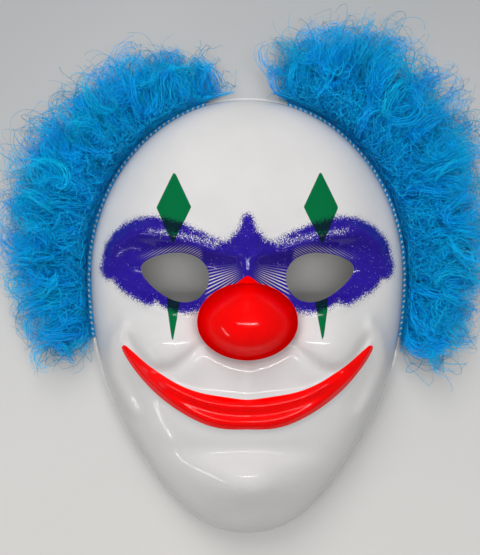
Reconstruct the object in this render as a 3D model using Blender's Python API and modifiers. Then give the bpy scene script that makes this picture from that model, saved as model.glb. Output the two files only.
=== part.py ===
"""A clown mask with curly side hair, lying face up on its flat rim.

Units are metres and +Z is up. The face looks up, the forehead points along +Y and the
mask's own left is at -X as it is seen from above. The origin is on the resting plane,
under the middle of the whole mask with its hair.

Face points are given in the face frame: its zero is the middle of the shell's rim, and
the empty called mask_frame carries it to its place.
"""

import math

import bmesh
import bpy
import numpy as np
from mathutils import Vector

# The rim is two half ellipses that meet at the widest level.
FACE_Y = -0.0194
HALF_WIDTH = 0.090
WIDEST_Y = 0.024
CROWN_REACH = 0.101
CHIN_REACH = 0.149
JAW_TAPER = 0.09
JAW_PEAK = 6.75  # brings the peak of a * a * (1 - a) to 1
RIM_STEP = 0.001

# The shell is one formed sheet: a dome on an upright skirt, with a flat flange round it.
SHEET = 0.0009
SKIRT_HEIGHT = 0.014
DOME_RISE = 0.046
DOME_POWER = 2.7
FLANGE_WIDTH = 0.004
SPOKES = 90
NOSE_RINGS = 6
FACE_RINGS = 24

# Nose, a half ball in relief.
NOSE_CENTRE = (0.0, -0.001)
NOSE_HALF = (0.0265, 0.0205)
NOSE_RISE = 0.0285

# Soft bumps (+) and hollows (-): centre x, centre y, half size x, half size y, rise.
# One that is off the centre line has a twin on the other side.
BUMPS = (
    (0.000, 0.026, 0.010, 0.022, 0.010),  # bridge of the nose
    (0.047, -0.014, 0.024, 0.019, 0.008),  # apple of the cheek
    (0.000, -0.090, 0.024, 0.016, 0.011),  # ball of the chin
    (0.000, -0.0715, 0.030, 0.006, -0.003),  # groove under the lower lip
    (0.039, 0.024, 0.027, 0.015, -0.011),  # eye socket
    (0.078, 0.060, 0.016, 0.030, -0.004),  # temple
)

# The mouth line is a parabola, with a lip on each side of it.
MOUTH_HALF = 0.066
MOUTH_Y = -0.050
MOUTH_LIFT = 0.032
LIP_HALF_WIDTH = 0.0050
LIP_TAPER = 0.35
LIP_RISE = 0.0042
LIP_APART = 0.9
LIP_STEPS = 14

# Ridges: x, y and half width of points along each, on the right half of the face.
BROW_RISE = 0.0060
BROW = (
    (0.008, 0.0365, 0.0060),
    (0.026, 0.0400, 0.0072),
    (0.045, 0.0455, 0.0078),
    (0.062, 0.0465, 0.0072),
    (0.074, 0.0400, 0.0060),
)
CHEEK_FOLD_RISE = 0.0034
CHEEK_FOLD = (
    (0.068, -0.002, 0.0055),
    (0.075, -0.016, 0.0065),
    (0.074, -0.034, 0.0070),
    (0.064, -0.052, 0.0060),
)

# Eye opening: an almond, tilted up towards the temple and fuller towards the nose.
EYE_CENTRE = (0.0395, 0.0235)
EYE_HALF = (0.0190, 0.0125)
EYE_TILT = math.radians(14)
EYE_FULLNESS = 0.30
EYE_CUT = (0.02, 0.09)

# Hair seam on the flange, as angles round the rim from the widest level to the crown.
SEAM_START = math.radians(-14)
SEAM_END = math.radians(75)
TAPE_INNER = 0.0010
TAPE_OUTER = 0.0065
TAPE_THICKNESS = 0.0008
THREAD_OUTSET = 0.0030
THREAD_RADIUS = 0.00035
THREAD_PITCH = 0.0032
THREAD_WAVE = 0.00025
FOLD_INSET = 0.010
GAP = 0.0003

# Hair wefts. The reach is from the seam to the tips, at even steps along the seam.
WEFT_ROOT = 0.0070
HAIR_REACH = {
    -1: (0.030, 0.0430, 0.0520, 0.0400, 0.0170),
    1: (0.030, 0.0420, 0.0590, 0.0600, 0.0300),
}
FAN_START = math.radians(-28)
FAN_END = math.radians(98)
WEFT_SECTIONS = 15
LOCK_WAVE = 0.05
END_SHORTER = 0.15
END_FLATTER = 0.5
FULL_REACH = 0.050
# Cross-sections of the two wefts: share of the reach, and height at full reach.
BACK_WEFT = (
    (0.00, 0.0010), (0.35, 0.0003), (0.80, 0.0003), (1.04, 0.0030), (1.02, 0.0090),
    (0.78, 0.0170), (0.45, 0.0150), (0.20, 0.0085), (0.00, 0.0035),
)
FRONT_WEFT = (
    (0.10, 0.0080), (0.24, 0.0120), (0.45, 0.0172), (0.72, 0.0192), (0.90, 0.0187),
    (0.92, 0.0260), (0.72, 0.0400), (0.45, 0.0390), (0.24, 0.0260), (0.10, 0.0150),
)

# The strap is a flat elastic band between two rivets in the skirt, at the widest level.
RIVET_Z = 0.0080
STRAP_WIDTH = 0.0080
STRAP_THICKNESS = 0.0012
STRAP_REACH = 0.075
STRAP_STEPS = 44
TAB_RADIUS = 0.0050
RIVET_HOLE_RADIUS = 0.0019
DRILL_DEPTH = 0.012
SHANK_RADIUS = 0.0016
HEAD_RADIUS = 0.0035
HEAD_HEIGHT = 0.0014
TAIL_RADIUS = 0.0024
TAIL_HEIGHT = 0.0008
WASHER_RADIUS = 0.0040
WASHER_THICKNESS = 0.0008

MATERIALS = {  # colour, roughness, metallic
    "white_plastic": ((0.86, 0.85, 0.84), 0.15, 0.0),
    "blue_hair": ((0.0, 0.25, 0.50), 0.55, 0.0),
    "blue_tape": ((0.01, 0.20, 0.45), 0.80, 0.0),
    "pale_thread": ((0.35, 0.70, 0.85), 0.60, 0.0),
    "elastic": ((0.80, 0.80, 0.78), 0.85, 0.0),
    "nickel": ((0.62, 0.61, 0.58), 0.28, 1.0),
}


# ---- The scene ----


def clear_scene():
    for obj in list(bpy.data.objects):
        bpy.data.objects.remove(obj)


def new_collection(name, hidden=False):
    collection = bpy.data.collections.new(name)
    collection.hide_render = hidden
    bpy.context.scene.collection.children.link(collection)
    return collection


def material(name):
    found = bpy.data.materials.get(name)
    if found:
        return found
    colour, roughness, metallic = MATERIALS[name]
    made = bpy.data.materials.new(name)
    made.use_nodes = True
    shader = made.node_tree.nodes["Principled BSDF"]
    shader.inputs["Base Color"].default_value = (*colour, 1.0)
    shader.inputs["Roughness"].default_value = roughness
    shader.inputs["Metallic"].default_value = metallic
    return made


def add_object(name, data, collection, frame, finish=None):
    obj = bpy.data.objects.new(name, data)
    collection.objects.link(obj)
    obj.parent = frame
    if finish:
        data.materials.append(material(finish))
    return obj


def mesh_from(name, points, faces):
    """A mesh with its faces turned outwards, shaded smooth up to sharp edges."""
    mesh = bpy.data.meshes.new(name)
    mesh.from_pydata([tuple(p) for p in points], [], faces)
    work = bmesh.new()
    work.from_mesh(mesh)
    bmesh.ops.recalc_face_normals(work, faces=work.faces)
    work.to_mesh(mesh)
    work.free()
    mesh.shade_smooth()
    mesh.set_sharp_from_angle(angle=math.radians(40))
    return mesh


def make_cutter(obj):
    obj.hide_render = True
    obj.display_type = "WIRE"
    return obj


def cut(obj, cutter):
    modifier = obj.modifiers.new("cut_" + cutter.name, "BOOLEAN")
    modifier.operation = "DIFFERENCE"
    modifier.object = cutter


# ---- The rim and the face ----


def jaw(level):
    """How the half width narrows, from the widest level (0) down to the chin (-1)."""
    below = np.clip(-level, 0, 1) ** 2
    return 1 - JAW_TAPER * JAW_PEAK * below * below * (1 - below)


def rim_level(angle):
    reach = CROWN_REACH if math.sin(angle) > 0 else CHIN_REACH
    narrow = float(jaw(math.sin(angle)))
    return Vector((HALF_WIDTH * math.cos(angle) * narrow, WIDEST_Y + reach * math.sin(angle)))


def rim_point(angle, outset=0.0):
    """A point of the rim outline, moved outwards by outset, at an angle that runs from
    the widest level on the right towards the crown."""
    along = rim_level(angle + RIM_STEP) - rim_level(angle - RIM_STEP)
    outwards = Vector((along.y, -along.x)).normalized()
    return rim_level(angle) + outwards * outset


def rim_share(x, y):
    """0 in the middle of the shell, 1 on its rim."""
    level = (y - WIDEST_Y) / np.where(y > WIDEST_Y, CROWN_REACH, CHIN_REACH)
    return np.hypot(x / (HALF_WIDTH * jaw(level)), level)


def nearest(line, x, y):
    """Distance from (x, y) to a line of (x, y, half width) points, and the half width
    at the nearest place on it."""
    best = np.full(np.shape(x), np.inf)
    width = np.zeros(np.shape(x))
    for (x0, y0, w0), (x1, y1, w1) in zip(line, line[1:]):
        dx, dy = x1 - x0, y1 - y0
        share = np.clip(((x - x0) * dx + (y - y0) * dy) / (dx * dx + dy * dy), 0, 1)
        distance = np.hypot(x - x0 - share * dx, y - y0 - share * dy)
        closer = distance - (w0 + share * (w1 - w0)) < best - width
        width = np.where(closer, w0 + share * (w1 - w0), width)
        best = np.where(closer, distance, best)
    return best, width


def ridge(line, rise, x, y):
    distance, width = nearest(line, x, y)
    widest = max(point[2] for point in line)
    return rise * width / widest * np.exp(-((distance / width) ** 2))


def lip(side):
    """Centre line of the upper (1) or the lower (-1) lip, as (x, y, half width)."""
    points = []
    for step in range(-LIP_STEPS, LIP_STEPS + 1):
        share = step / LIP_STEPS
        width = LIP_HALF_WIDTH * (1 - LIP_TAPER * share * share)
        middle = MOUTH_Y + MOUTH_LIFT * share * share
        apart = LIP_APART * width * (1 - share**4)
        points.append((share * MOUTH_HALF, middle + side * apart, width))
    return points


def nose_share(x, y):
    """0 at the tip of the nose, 1 at its edge and beyond."""
    across = (x - NOSE_CENTRE[0]) / NOSE_HALF[0]
    up = (y - NOSE_CENTRE[1]) / NOSE_HALF[1]
    return np.minimum(np.hypot(across, up), 1.0)


def face_height(x, y):
    """Height of the outer surface over the resting plane, inside the rim."""
    share = np.minimum(rim_share(x, y), 1.0)
    height = SKIRT_HEIGHT + DOME_RISE * np.sqrt(1 - share**DOME_POWER)
    relief = np.zeros(np.shape(x))
    for centre_x, centre_y, half_x, half_y, rise in BUMPS:
        across = np.abs(x) if centre_x else x
        fall = ((across - centre_x) / half_x) ** 2 + ((y - centre_y) / half_y) ** 2
        relief = relief + rise * np.exp(-fall)
    relief = relief + ridge(BROW, BROW_RISE, np.abs(x), y)
    relief = relief + ridge(CHEEK_FOLD, CHEEK_FOLD_RISE, np.abs(x), y)
    for side in (1, -1):
        relief = relief + ridge(lip(side), LIP_RISE, x, y)
    nose = nose_share(x, y)
    relief = relief * nose**2 + NOSE_RISE * np.sqrt(1 - nose**2)
    return height + relief * (1 - share**8)


def ring_points(share_of_nose, share_to_rim):
    """The surface points of one ring. The first share runs from the tip of the nose to
    its edge, the second from the edge of the nose to the rim."""
    points = []
    for spoke in range(SPOKES):
        angle = 2 * math.pi * spoke / SPOKES
        rim = rim_level(angle)
        nose_x = NOSE_CENTRE[0] + share_of_nose * NOSE_HALF[0] * math.cos(angle)
        nose_y = NOSE_CENTRE[1] + share_of_nose * NOSE_HALF[1] * math.sin(angle)
        x = nose_x + share_to_rim * (rim.x - nose_x)
        y = nose_y + share_to_rim * (rim.y - nose_y)
        points.append((x, y, float(face_height(x, y))))
    return points


def level_ring(outset, height):
    angles = (2 * math.pi * spoke / SPOKES for spoke in range(SPOKES))
    return [(*rim_point(angle, outset), height) for angle in angles]


def make_face_shell(collection, frame):
    """One sheet: rings out from the nose, then the skirt, then the flange."""
    rings = []
    for ring in range(1, NOSE_RINGS + 1):
        rings.append(ring_points(math.sin(math.pi / 2 * ring / NOSE_RINGS), 0.0))
    for ring in range(1, FACE_RINGS + 1):
        share = ring / FACE_RINGS
        rings.append(ring_points(1.0, (share + math.sin(math.pi / 2 * share)) / 2))
    rings.append(level_ring(0.0, SKIRT_HEIGHT / 2))
    rings.append(level_ring(0.0, SHEET))
    rings.append(level_ring(FLANGE_WIDTH, SHEET))
    top = float(face_height(*NOSE_CENTRE))
    points = [(*NOSE_CENTRE, top)] + [point for ring in rings for point in ring]
    faces = []
    for spoke in range(SPOKES):
        after = (spoke + 1) % SPOKES
        faces.append((0, 1 + spoke, 1 + after))
        for ring in range(len(rings) - 1):
            inner, outer = 1 + ring * SPOKES, 1 + (ring + 1) * SPOKES
            faces.append((inner + spoke, outer + spoke, outer + after, inner + after))
    mesh = bpy.data.meshes.new("face_shell")
    mesh.from_pydata(points, [], faces)
    mesh.shade_smooth()
    shell = add_object("face_shell", mesh, collection, frame, "white_plastic")
    halves = shell.modifiers.new("halves", "TRIANGULATE")
    halves.quad_method = "SHORTEST_DIAGONAL"
    wall = shell.modifiers.new("wall", "SOLIDIFY")
    wall.thickness = SHEET
    wall.offset = -1
    wall.use_even_offset = True
    return shell


def eye_outline(side, steps=36):
    """Points round the eye opening."""
    points = []
    for step in range(steps):
        angle = 2 * math.pi * step / steps
        along = math.cos(angle)
        across = math.sin(angle) * (1 - EYE_FULLNESS * along)
        x = EYE_HALF[0] * along
        y = EYE_HALF[1] * across
        turned_x = x * math.cos(EYE_TILT) - y * math.sin(EYE_TILT)
        turned_y = x * math.sin(EYE_TILT) + y * math.cos(EYE_TILT)
        points.append((side * (EYE_CENTRE[0] + turned_x), EYE_CENTRE[1] + turned_y))
    return points


def make_eye_cutter(side, collection, frame):
    """An upright prism with the outline of one eye opening, through the whole shell."""
    outline = eye_outline(side)
    count = len(outline)
    points = [(x, y, z) for z in EYE_CUT for x, y in outline]
    faces = [tuple(range(count)), tuple(range(count, 2 * count))]
    for step in range(count):
        after = (step + 1) % count
        faces.append((step, after, count + after, count + step))
    mesh = mesh_from("eye_cutter", points, faces)
    return make_cutter(add_object(side_name(side, "eye_cutter"), mesh, collection, frame))


def make_rivet_cutter(side, collection, frame):
    """A drill along X for the rivet, through the skirt and the end of the strap."""
    bpy.ops.mesh.primitive_cylinder_add(
        vertices=20, radius=RIVET_HOLE_RADIUS, depth=DRILL_DEPTH
    )
    drill = bpy.context.object
    drill.name = side_name(side, "rivet_cutter")
    drill.parent = frame
    drill.location = (side * HALF_WIDTH, WIDEST_Y, RIVET_Z)
    drill.rotation_euler = (0, math.pi / 2, 0)
    for owner in list(drill.users_collection):
        owner.objects.unlink(drill)
    collection.objects.link(drill)
    return make_cutter(drill)


def side_name(side, name):
    return ("right_" if side > 0 else "left_") + name


# ---- Hair: tape, thread and wefts ----


def seam_angle(share):
    return SEAM_START + share * (SEAM_END - SEAM_START)


def seam_point(side, share, outset):
    point = rim_point(seam_angle(share), outset)
    return Vector((side * point.x, point.y))


def make_hair_tape(side, collection, frame, steps=30):
    """Woven tape along the flange, which carries the hair: a flat outline, extruded."""
    curve = bpy.data.curves.new("hair_tape", "CURVE")
    curve.dimensions = "2D"
    curve.fill_mode = "BOTH"
    curve.extrude = TAPE_THICKNESS / 2
    outline = [seam_point(side, step / steps, TAPE_INNER) for step in range(steps + 1)]
    outline += [seam_point(side, 1 - step / steps, TAPE_OUTER) for step in range(steps + 1)]
    spline = curve.splines.new("POLY")
    spline.points.add(len(outline) - 1)
    for place, point in zip(spline.points, outline):
        place.co = (point.x, point.y, 0, 1)
    spline.use_cyclic_u = True
    tape = add_object(side_name(side, "hair_tape"), curve, collection, frame, "blue_tape")
    tape.location.z = SHEET + GAP + TAPE_THICKNESS / 2
    return tape


def make_sewing_thread(side, collection, frame):
    """One thread along the tape, which rises at each stitch."""
    base = SHEET + GAP + TAPE_THICKNESS + GAP + THREAD_RADIUS + THREAD_WAVE
    trail = [seam_point(side, i / 60, THREAD_OUTSET) for i in range(61)]
    length = sum((b - a).length for a, b in zip(trail, trail[1:]))
    steps = 2 * round(length / THREAD_PITCH)
    curve = bpy.data.curves.new("sewing_thread", "CURVE")
    curve.dimensions = "3D"
    curve.bevel_depth = THREAD_RADIUS
    curve.bevel_resolution = 0
    curve.use_fill_caps = True
    spline = curve.splines.new("POLY")
    spline.points.add(steps - 1)
    for step, place in enumerate(spline.points):
        point = seam_point(side, (step + 0.5) / steps, THREAD_OUTSET)
        lift = THREAD_WAVE if step % 2 else -THREAD_WAVE
        place.co = (point.x, point.y, base + lift, 1)
    name = side_name(side, "sewing_thread")
    return add_object(name, curve, collection, frame, "pale_thread")


def reach_at(side, share):
    """Hair length at a share of the seam, eased between the listed lengths."""
    lengths = HAIR_REACH[side]
    place = min(share * (len(lengths) - 1), len(lengths) - 1.0001)
    first = int(place)
    ease = (1 - math.cos(math.pi * (place - first))) / 2
    return lengths[first] + ease * (lengths[first + 1] - lengths[first])


def fold_pivot(side):
    """A point of the line that the hair folds about: it runs along the middle of the
    seam, set in so that the seam's two ends lie as far to one side of it."""
    point = seam_point(side, 0.5, TAPE_OUTER - FOLD_INSET)
    return Vector((point.x, point.y, SHEET + GAP))


def make_weft(side, name, section, collection, frame):
    """A row of hair as a soft closed form: one cross-section fanned along the seam."""
    pivot = fold_pivot(side)
    points = []
    middle = sum(height for _, height in section) / len(section)
    for step in range(WEFT_SECTIONS):
        share = step / (WEFT_SECTIONS - 1)
        root = seam_point(side, share, WEFT_ROOT)
        fan = FAN_START + share * (FAN_END - FAN_START)
        outwards = Vector((side * math.cos(fan), math.sin(fan)))
        end = abs(2 * share - 1) ** 6
        reach = reach_at(side, share) * (1 - END_SHORTER * end + LOCK_WAVE * (-1) ** step)
        rise = min(1.0, reach / FULL_REACH)
        for distance, height in section:
            place = root + outwards * distance * reach
            height = middle + (height - middle) * (1 - END_FLATTER * end)
            points.append(Vector((*place, height * rise)) - pivot)
    count = len(section)
    faces = [tuple(range(count)), tuple(range(len(points) - count, len(points)))]
    for step in range(WEFT_SECTIONS - 1):
        for edge in range(count):
            after = (edge + 1) % count
            first, second = step * count, (step + 1) * count
            faces.append((first + edge, first + after, second + after, second + edge))
    mesh = mesh_from(name, points, faces)
    weft = add_object(side_name(side, name), mesh, collection, frame, "blue_hair")
    weft.location = pivot
    soften = weft.modifiers.new("soften", "SUBSURF")
    soften.levels = soften.render_levels = 1
    return weft


# ---- Strap and rivets ----


def strap_stations():
    """Places along the band from the right tab to the left one: x, y and half width."""
    middle = HALF_WIDTH - SHEET - GAP - STRAP_THICKNESS / 2
    bend = []
    for step in range(STRAP_STEPS + 1):
        angle = math.pi * step / STRAP_STEPS
        bend.append((middle * math.cos(angle), STRAP_REACH * math.sin(angle), STRAP_WIDTH / 2))
    tab = []
    for step in range(4):
        back = TAB_RADIUS * math.sin(math.radians(20 + 20 * step))
        half = min(STRAP_WIDTH / 2, math.sqrt(TAB_RADIUS**2 - back**2))
        tab.append((middle, -back, half))
    mirrored = [(-x, y, half) for x, y, half in tab]
    return tab[::-1] + bend + mirrored


def make_elastic_strap(collection, frame):
    """A flat band on edge, from rivet to rivet, resting on its far edge."""
    stations = strap_stations()
    points = [(x, y, z) for x, y, half in stations for z in (-half, half)]
    faces = [(2 * i, 2 * i + 2, 2 * i + 3, 2 * i + 1) for i in range(len(stations) - 1)]
    mesh = bpy.data.meshes.new("elastic_strap")
    mesh.from_pydata(points, [], faces)
    strap = add_object("elastic_strap", mesh, collection, frame, "elastic")
    strap.location = (0, WIDEST_Y, RIVET_Z)
    drop = RIVET_Z - STRAP_WIDTH / 2
    strap.rotation_euler.x = -math.asin(drop / (STRAP_REACH + STRAP_THICKNESS))
    band = strap.modifiers.new("band", "SOLIDIFY")
    band.thickness = STRAP_THICKNESS
    band.offset = 0
    band.use_even_offset = True
    return strap


def turned(name, profile, side, collection, frame, steps=20):
    """A turned piece on the rivet's axis. The profile is (radius, distance outwards from
    the skirt), from its outer end inwards."""
    mesh = bpy.data.meshes.new(name)
    edges = [(i, i + 1) for i in range(len(profile) - 1)]
    mesh.from_pydata([(radius, 0, out) for radius, out in profile], edges, [])
    piece = add_object(side_name(side, name), mesh, collection, frame, "nickel")
    piece.location = (side * HALF_WIDTH, WIDEST_Y, RIVET_Z)
    piece.rotation_euler.y = side * math.pi / 2
    turn = piece.modifiers.new("turn", "SCREW")
    turn.steps = turn.render_steps = steps
    turn.use_merge_vertices = True
    turn.merge_threshold = 0.00001
    return piece


def make_strap_rivet(side, collection, frame):
    grip = SHEET + GAP + STRAP_THICKNESS + GAP + WASHER_THICKNESS + GAP
    dome = [
        (HEAD_RADIUS * math.sin(math.radians(15 * i)), GAP + HEAD_HEIGHT * math.cos(math.radians(15 * i)))
        for i in range(6)
    ]
    profile = dome + [
        (HEAD_RADIUS, GAP),
        (SHANK_RADIUS, GAP),
        (SHANK_RADIUS, -grip),
        (TAIL_RADIUS, -grip),
        (TAIL_RADIUS, -grip - TAIL_HEIGHT * 0.6),
        (TAIL_RADIUS * 0.7, -grip - TAIL_HEIGHT),
        (0, -grip - TAIL_HEIGHT),
    ]
    return turned("strap_rivet", profile, side, collection, frame)


def make_rivet_washer(side, collection, frame):
    outer_face = -(SHEET + GAP + STRAP_THICKNESS + GAP)
    inner_face = outer_face - WASHER_THICKNESS
    profile = [
        (RIVET_HOLE_RADIUS, outer_face),
        (WASHER_RADIUS, outer_face),
        (WASHER_RADIUS, inner_face),
        (RIVET_HOLE_RADIUS, inner_face),
        (RIVET_HOLE_RADIUS, outer_face),
    ]
    return turned("rivet_washer", profile, side, collection, frame)


def main():
    clear_scene()
    mask = new_collection("clown_mask")
    cutters = new_collection("cutters", hidden=True)
    frame = bpy.data.objects.new("mask_frame", None)
    frame.location.y = FACE_Y
    mask.objects.link(frame)

    shell = make_face_shell(mask, frame)
    strap = make_elastic_strap(mask, frame)
    for side in (-1, 1):
        cut(shell, make_eye_cutter(side, cutters, frame))
        drill = make_rivet_cutter(side, cutters, frame)
        cut(shell, drill)
        cut(strap, drill)
        make_strap_rivet(side, mask, frame)
        make_rivet_washer(side, mask, frame)
        make_hair_tape(side, mask, frame)
        make_sewing_thread(side, mask, frame)
        make_weft(side, "back_weft", BACK_WEFT, mask, frame)
        make_weft(side, "front_weft", FRONT_WEFT, mask, frame)


main()
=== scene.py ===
"""A glossy clown mask with curly blue side hair, lying face up on a pale table.

Everything is in metres, in the frame of the CAD. The face's own points are given in the
face frame, whose zero is the middle of the shell's rim, and on the right half only where
the left half mirrors them.
"""

import math

import bmesh
import bpy
import numpy as np
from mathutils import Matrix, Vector


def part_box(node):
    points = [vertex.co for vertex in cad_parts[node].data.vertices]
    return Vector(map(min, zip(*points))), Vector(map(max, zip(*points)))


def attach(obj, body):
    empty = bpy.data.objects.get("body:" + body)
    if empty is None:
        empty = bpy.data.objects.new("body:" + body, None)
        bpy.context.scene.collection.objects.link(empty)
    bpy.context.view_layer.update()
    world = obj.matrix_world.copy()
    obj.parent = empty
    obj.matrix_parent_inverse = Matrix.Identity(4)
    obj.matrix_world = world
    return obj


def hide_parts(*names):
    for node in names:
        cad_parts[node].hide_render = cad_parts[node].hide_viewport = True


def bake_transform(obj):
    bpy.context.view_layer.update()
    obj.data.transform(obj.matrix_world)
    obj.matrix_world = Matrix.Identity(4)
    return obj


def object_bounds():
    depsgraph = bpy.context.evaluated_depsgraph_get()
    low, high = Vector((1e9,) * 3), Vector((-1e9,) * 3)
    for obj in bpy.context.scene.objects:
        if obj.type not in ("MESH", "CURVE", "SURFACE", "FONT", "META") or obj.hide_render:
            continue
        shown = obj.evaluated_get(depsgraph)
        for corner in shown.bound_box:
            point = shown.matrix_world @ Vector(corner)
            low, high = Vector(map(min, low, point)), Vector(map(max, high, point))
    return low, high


SEED = 11

# ---- Driving dimensions, as the part has them ----

SHEET = 0.0009
SKIRT_HEIGHT = 0.014
DOME_RISE = 0.046
DOME_POWER = 2.7
FLANGE_WIDTH = 0.004
JAW_TAPER = 0.09
NOSE_CENTRE = (0.0, -0.001)
NOSE_HALF = (0.0265, 0.0205)
NOSE_RISE = 0.0285
MOAT_DEPTH = 0.0014
MOAT_WIDTH = 0.16
EYE_CENTRE = (0.0395, 0.0235)
EYE_HALF = (0.0190, 0.0125)
EYE_TILT = math.radians(14)
EYE_FULLNESS = 0.30
EYE_CUT_LEVELS = (0.02, 0.09)
RIVET_HOLE_RADIUS = 0.0019
SEAM_START = math.radians(-14)
SEAM_END = math.radians(75)
STITCH_PITCH = 0.0032
STITCH_OUTSET = 0.0034
FAN_START = math.radians(-28)
FAN_END = math.radians(98)
HAIR_REACH = {
    -1: (0.030, 0.0430, 0.0520, 0.0400, 0.0170),
    1: (0.030, 0.0420, 0.0590, 0.0600, 0.0300),
}

# ---- Relief ----

# It is the part's relief with finer ridges. Bumps: centre x, centre y, half size x, half
# size y, rise. One that is off the centre line has a twin on the other side.

BUMPS = (
    (0.000, 0.026, 0.010, 0.022, 0.010),  # bridge of the nose
    (0.047, -0.014, 0.024, 0.019, 0.008),  # apple of the cheek
    (0.000, -0.090, 0.024, 0.016, 0.011),  # ball of the chin
    (0.000, -0.0715, 0.030, 0.006, -0.003),  # groove under the lower lip
    (0.039, 0.024, 0.027, 0.015, -0.011),  # eye socket
    (0.078, 0.060, 0.016, 0.030, -0.004),  # temple
)

# Ridges: their rise, then x, y and half width of points along each. In order: the brow, the
# lower lid, the fold outside the cheek, the groove round the cheek, and the ridge from the
# nose to the lips.
RIDGES = (
    (0.0065, ((0.006, 0.0350, 0.0045), (0.020, 0.0375, 0.0055), (0.034, 0.0420, 0.0062),
              (0.048, 0.0460, 0.0062), (0.062, 0.0465, 0.0056), (0.073, 0.0405, 0.0045))),
    (0.0024, ((0.024, 0.0060, 0.0024), (0.036, 0.0050, 0.0032), (0.050, 0.0075, 0.0034),
              (0.062, 0.0130, 0.0030), (0.071, 0.0210, 0.0022))),
    (0.0038, ((0.067, -0.0030, 0.0036), (0.0745, -0.0160, 0.0050),
              (0.0735, -0.0330, 0.0058), (0.064, -0.0510, 0.0044))),
    (-0.0024, ((0.026, -0.0150, 0.0030), (0.040, -0.0265, 0.0042),
               (0.054, -0.0270, 0.0040), (0.064, -0.0110, 0.0030))),
    (0.0016, ((0.000, -0.0250, 0.0040), (0.000, -0.0400, 0.0060))),
)

# The red smile: a stroke along a curve, with a lip on each side of the mouth line.
SMILE_HALF = 0.0665
SMILE_Y = -0.0505
SMILE_LIFT = 0.0345
SMILE_CURVE = 2.3
SMILE_THIN = 0.0018
SMILE_THICK = 0.0062
SMILE_STEPS = 24
BOW_RISE = 0.0009
BOW_X = 0.016
BOW_HALF = 0.012
LIP_RISE = 0.0042
UPPER_LIP = (0.52, 0.46)  # how far off the mouth line and how wide, as shares of the stroke
LOWER_LIP = (-0.52, 0.50)


def middle_of_shell():
    """The shell's half width, and the levels of its crown, chin, middle and rivets."""
    low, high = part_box("face_shell")
    rivet_low, rivet_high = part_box("right_strap_rivet")
    middle = (low.y + high.y) / 2
    return {
        "half_width": high.x - FLANGE_WIDTH,
        "face_y": middle,
        "widest_y": (rivet_low.y + rivet_high.y) / 2 - middle,
        "rivet_z": (rivet_low.z + rivet_high.z) / 2,
        "crown_y": high.y - FLANGE_WIDTH - middle,
        "chin_y": low.y + FLANGE_WIDTH - middle,
    }


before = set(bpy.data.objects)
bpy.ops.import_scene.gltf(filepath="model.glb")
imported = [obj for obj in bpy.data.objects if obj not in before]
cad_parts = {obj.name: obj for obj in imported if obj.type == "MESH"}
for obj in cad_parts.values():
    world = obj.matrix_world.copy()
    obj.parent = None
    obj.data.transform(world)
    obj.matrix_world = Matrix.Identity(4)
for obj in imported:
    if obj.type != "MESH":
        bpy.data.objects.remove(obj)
cad_low, cad_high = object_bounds()
SHELL = middle_of_shell()
FACE_Y = SHELL["face_y"]
HALF_WIDTH = SHELL["half_width"]
WIDEST_Y = SHELL["widest_y"]
CROWN_REACH = SHELL["crown_y"] - WIDEST_Y
CHIN_REACH = WIDEST_Y - SHELL["chin_y"]


# ---- The rim ----


def smooth(low, high, value):
    """0 below low, 1 above high, eased between."""
    share = np.clip((value - low) / (high - low), 0, 1)
    return share * share * (3 - 2 * share)


def jaw(level):
    below = np.clip(-level, 0, 1) ** 2
    return 1 - JAW_TAPER * 6.75 * below * below * (1 - below)


def rim_level(angle):
    """Points of the rim outline, in the face frame, for an array of angles."""
    up = np.sin(angle)
    reach = np.where(up > 0, CROWN_REACH, CHIN_REACH)
    x = HALF_WIDTH * np.cos(angle) * jaw(up)
    return np.stack([x, WIDEST_Y + reach * up], axis=-1)


def rim_outwards(angle):
    along = rim_level(angle + 0.001) - rim_level(angle - 0.001)
    outwards = np.stack([along[..., 1], -along[..., 0]], axis=-1)
    return outwards / np.linalg.norm(outwards, axis=-1, keepdims=True)


def rim_share(x, y):
    """0 in the middle of the shell, 1 on its rim."""
    level = (y - WIDEST_Y) / np.where(y > WIDEST_Y, CROWN_REACH, CHIN_REACH)
    return np.hypot(x / (HALF_WIDTH * jaw(level)), level)


def seam(side, share, outset):
    """Points along a hair seam, in the face frame. Share runs from cheek to crown."""
    angle = SEAM_START + share * (SEAM_END - SEAM_START)
    place = rim_level(angle) + rim_outwards(angle) * np.expand_dims(outset, -1)
    return place * np.array([side, 1.0])


# ---- The face ----


def nearest(line, x, y):
    """Distance from (x, y) to a line of (x, y, half width) points, and the half width
    at the nearest place on it."""
    best = np.full(np.shape(x), np.inf)
    width = np.zeros(np.shape(x))
    for (x0, y0, w0), (x1, y1, w1) in zip(line, line[1:]):
        dx, dy = x1 - x0, y1 - y0
        share = np.clip(((x - x0) * dx + (y - y0) * dy) / (dx * dx + dy * dy), 0, 1)
        distance = np.hypot(x - x0 - share * dx, y - y0 - share * dy)
        closer = distance - (w0 + share * (w1 - w0)) < best - width
        width = np.where(closer, w0 + share * (w1 - w0), width)
        best = np.where(closer, distance, best)
    return best, width


def rounded(line, steps=6):
    """A line with points added between its own, on a smooth curve through them."""
    points = [np.array(point) for point in line]
    points = [2 * points[0] - points[1]] + points + [2 * points[-1] - points[-2]]
    out = []
    for a, b, c, d in zip(points, points[1:], points[2:], points[3:]):
        for step in range(steps):
            t = step / steps
            bend = (2 * a - 5 * b + 4 * c - d) * t * t + (3 * b - a - 3 * c + d) * t**3
            out.append(tuple((2 * b + (c - a) * t + bend) / 2))
    out.append(tuple(points[-2]))
    return out


def ridge(line, rise, x, y):
    distance, width = nearest(line, x, y)
    widest = max(point[2] for point in line)
    return rise * width / widest * np.exp(-((distance / np.maximum(width, 1e-4)) ** 2))


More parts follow.
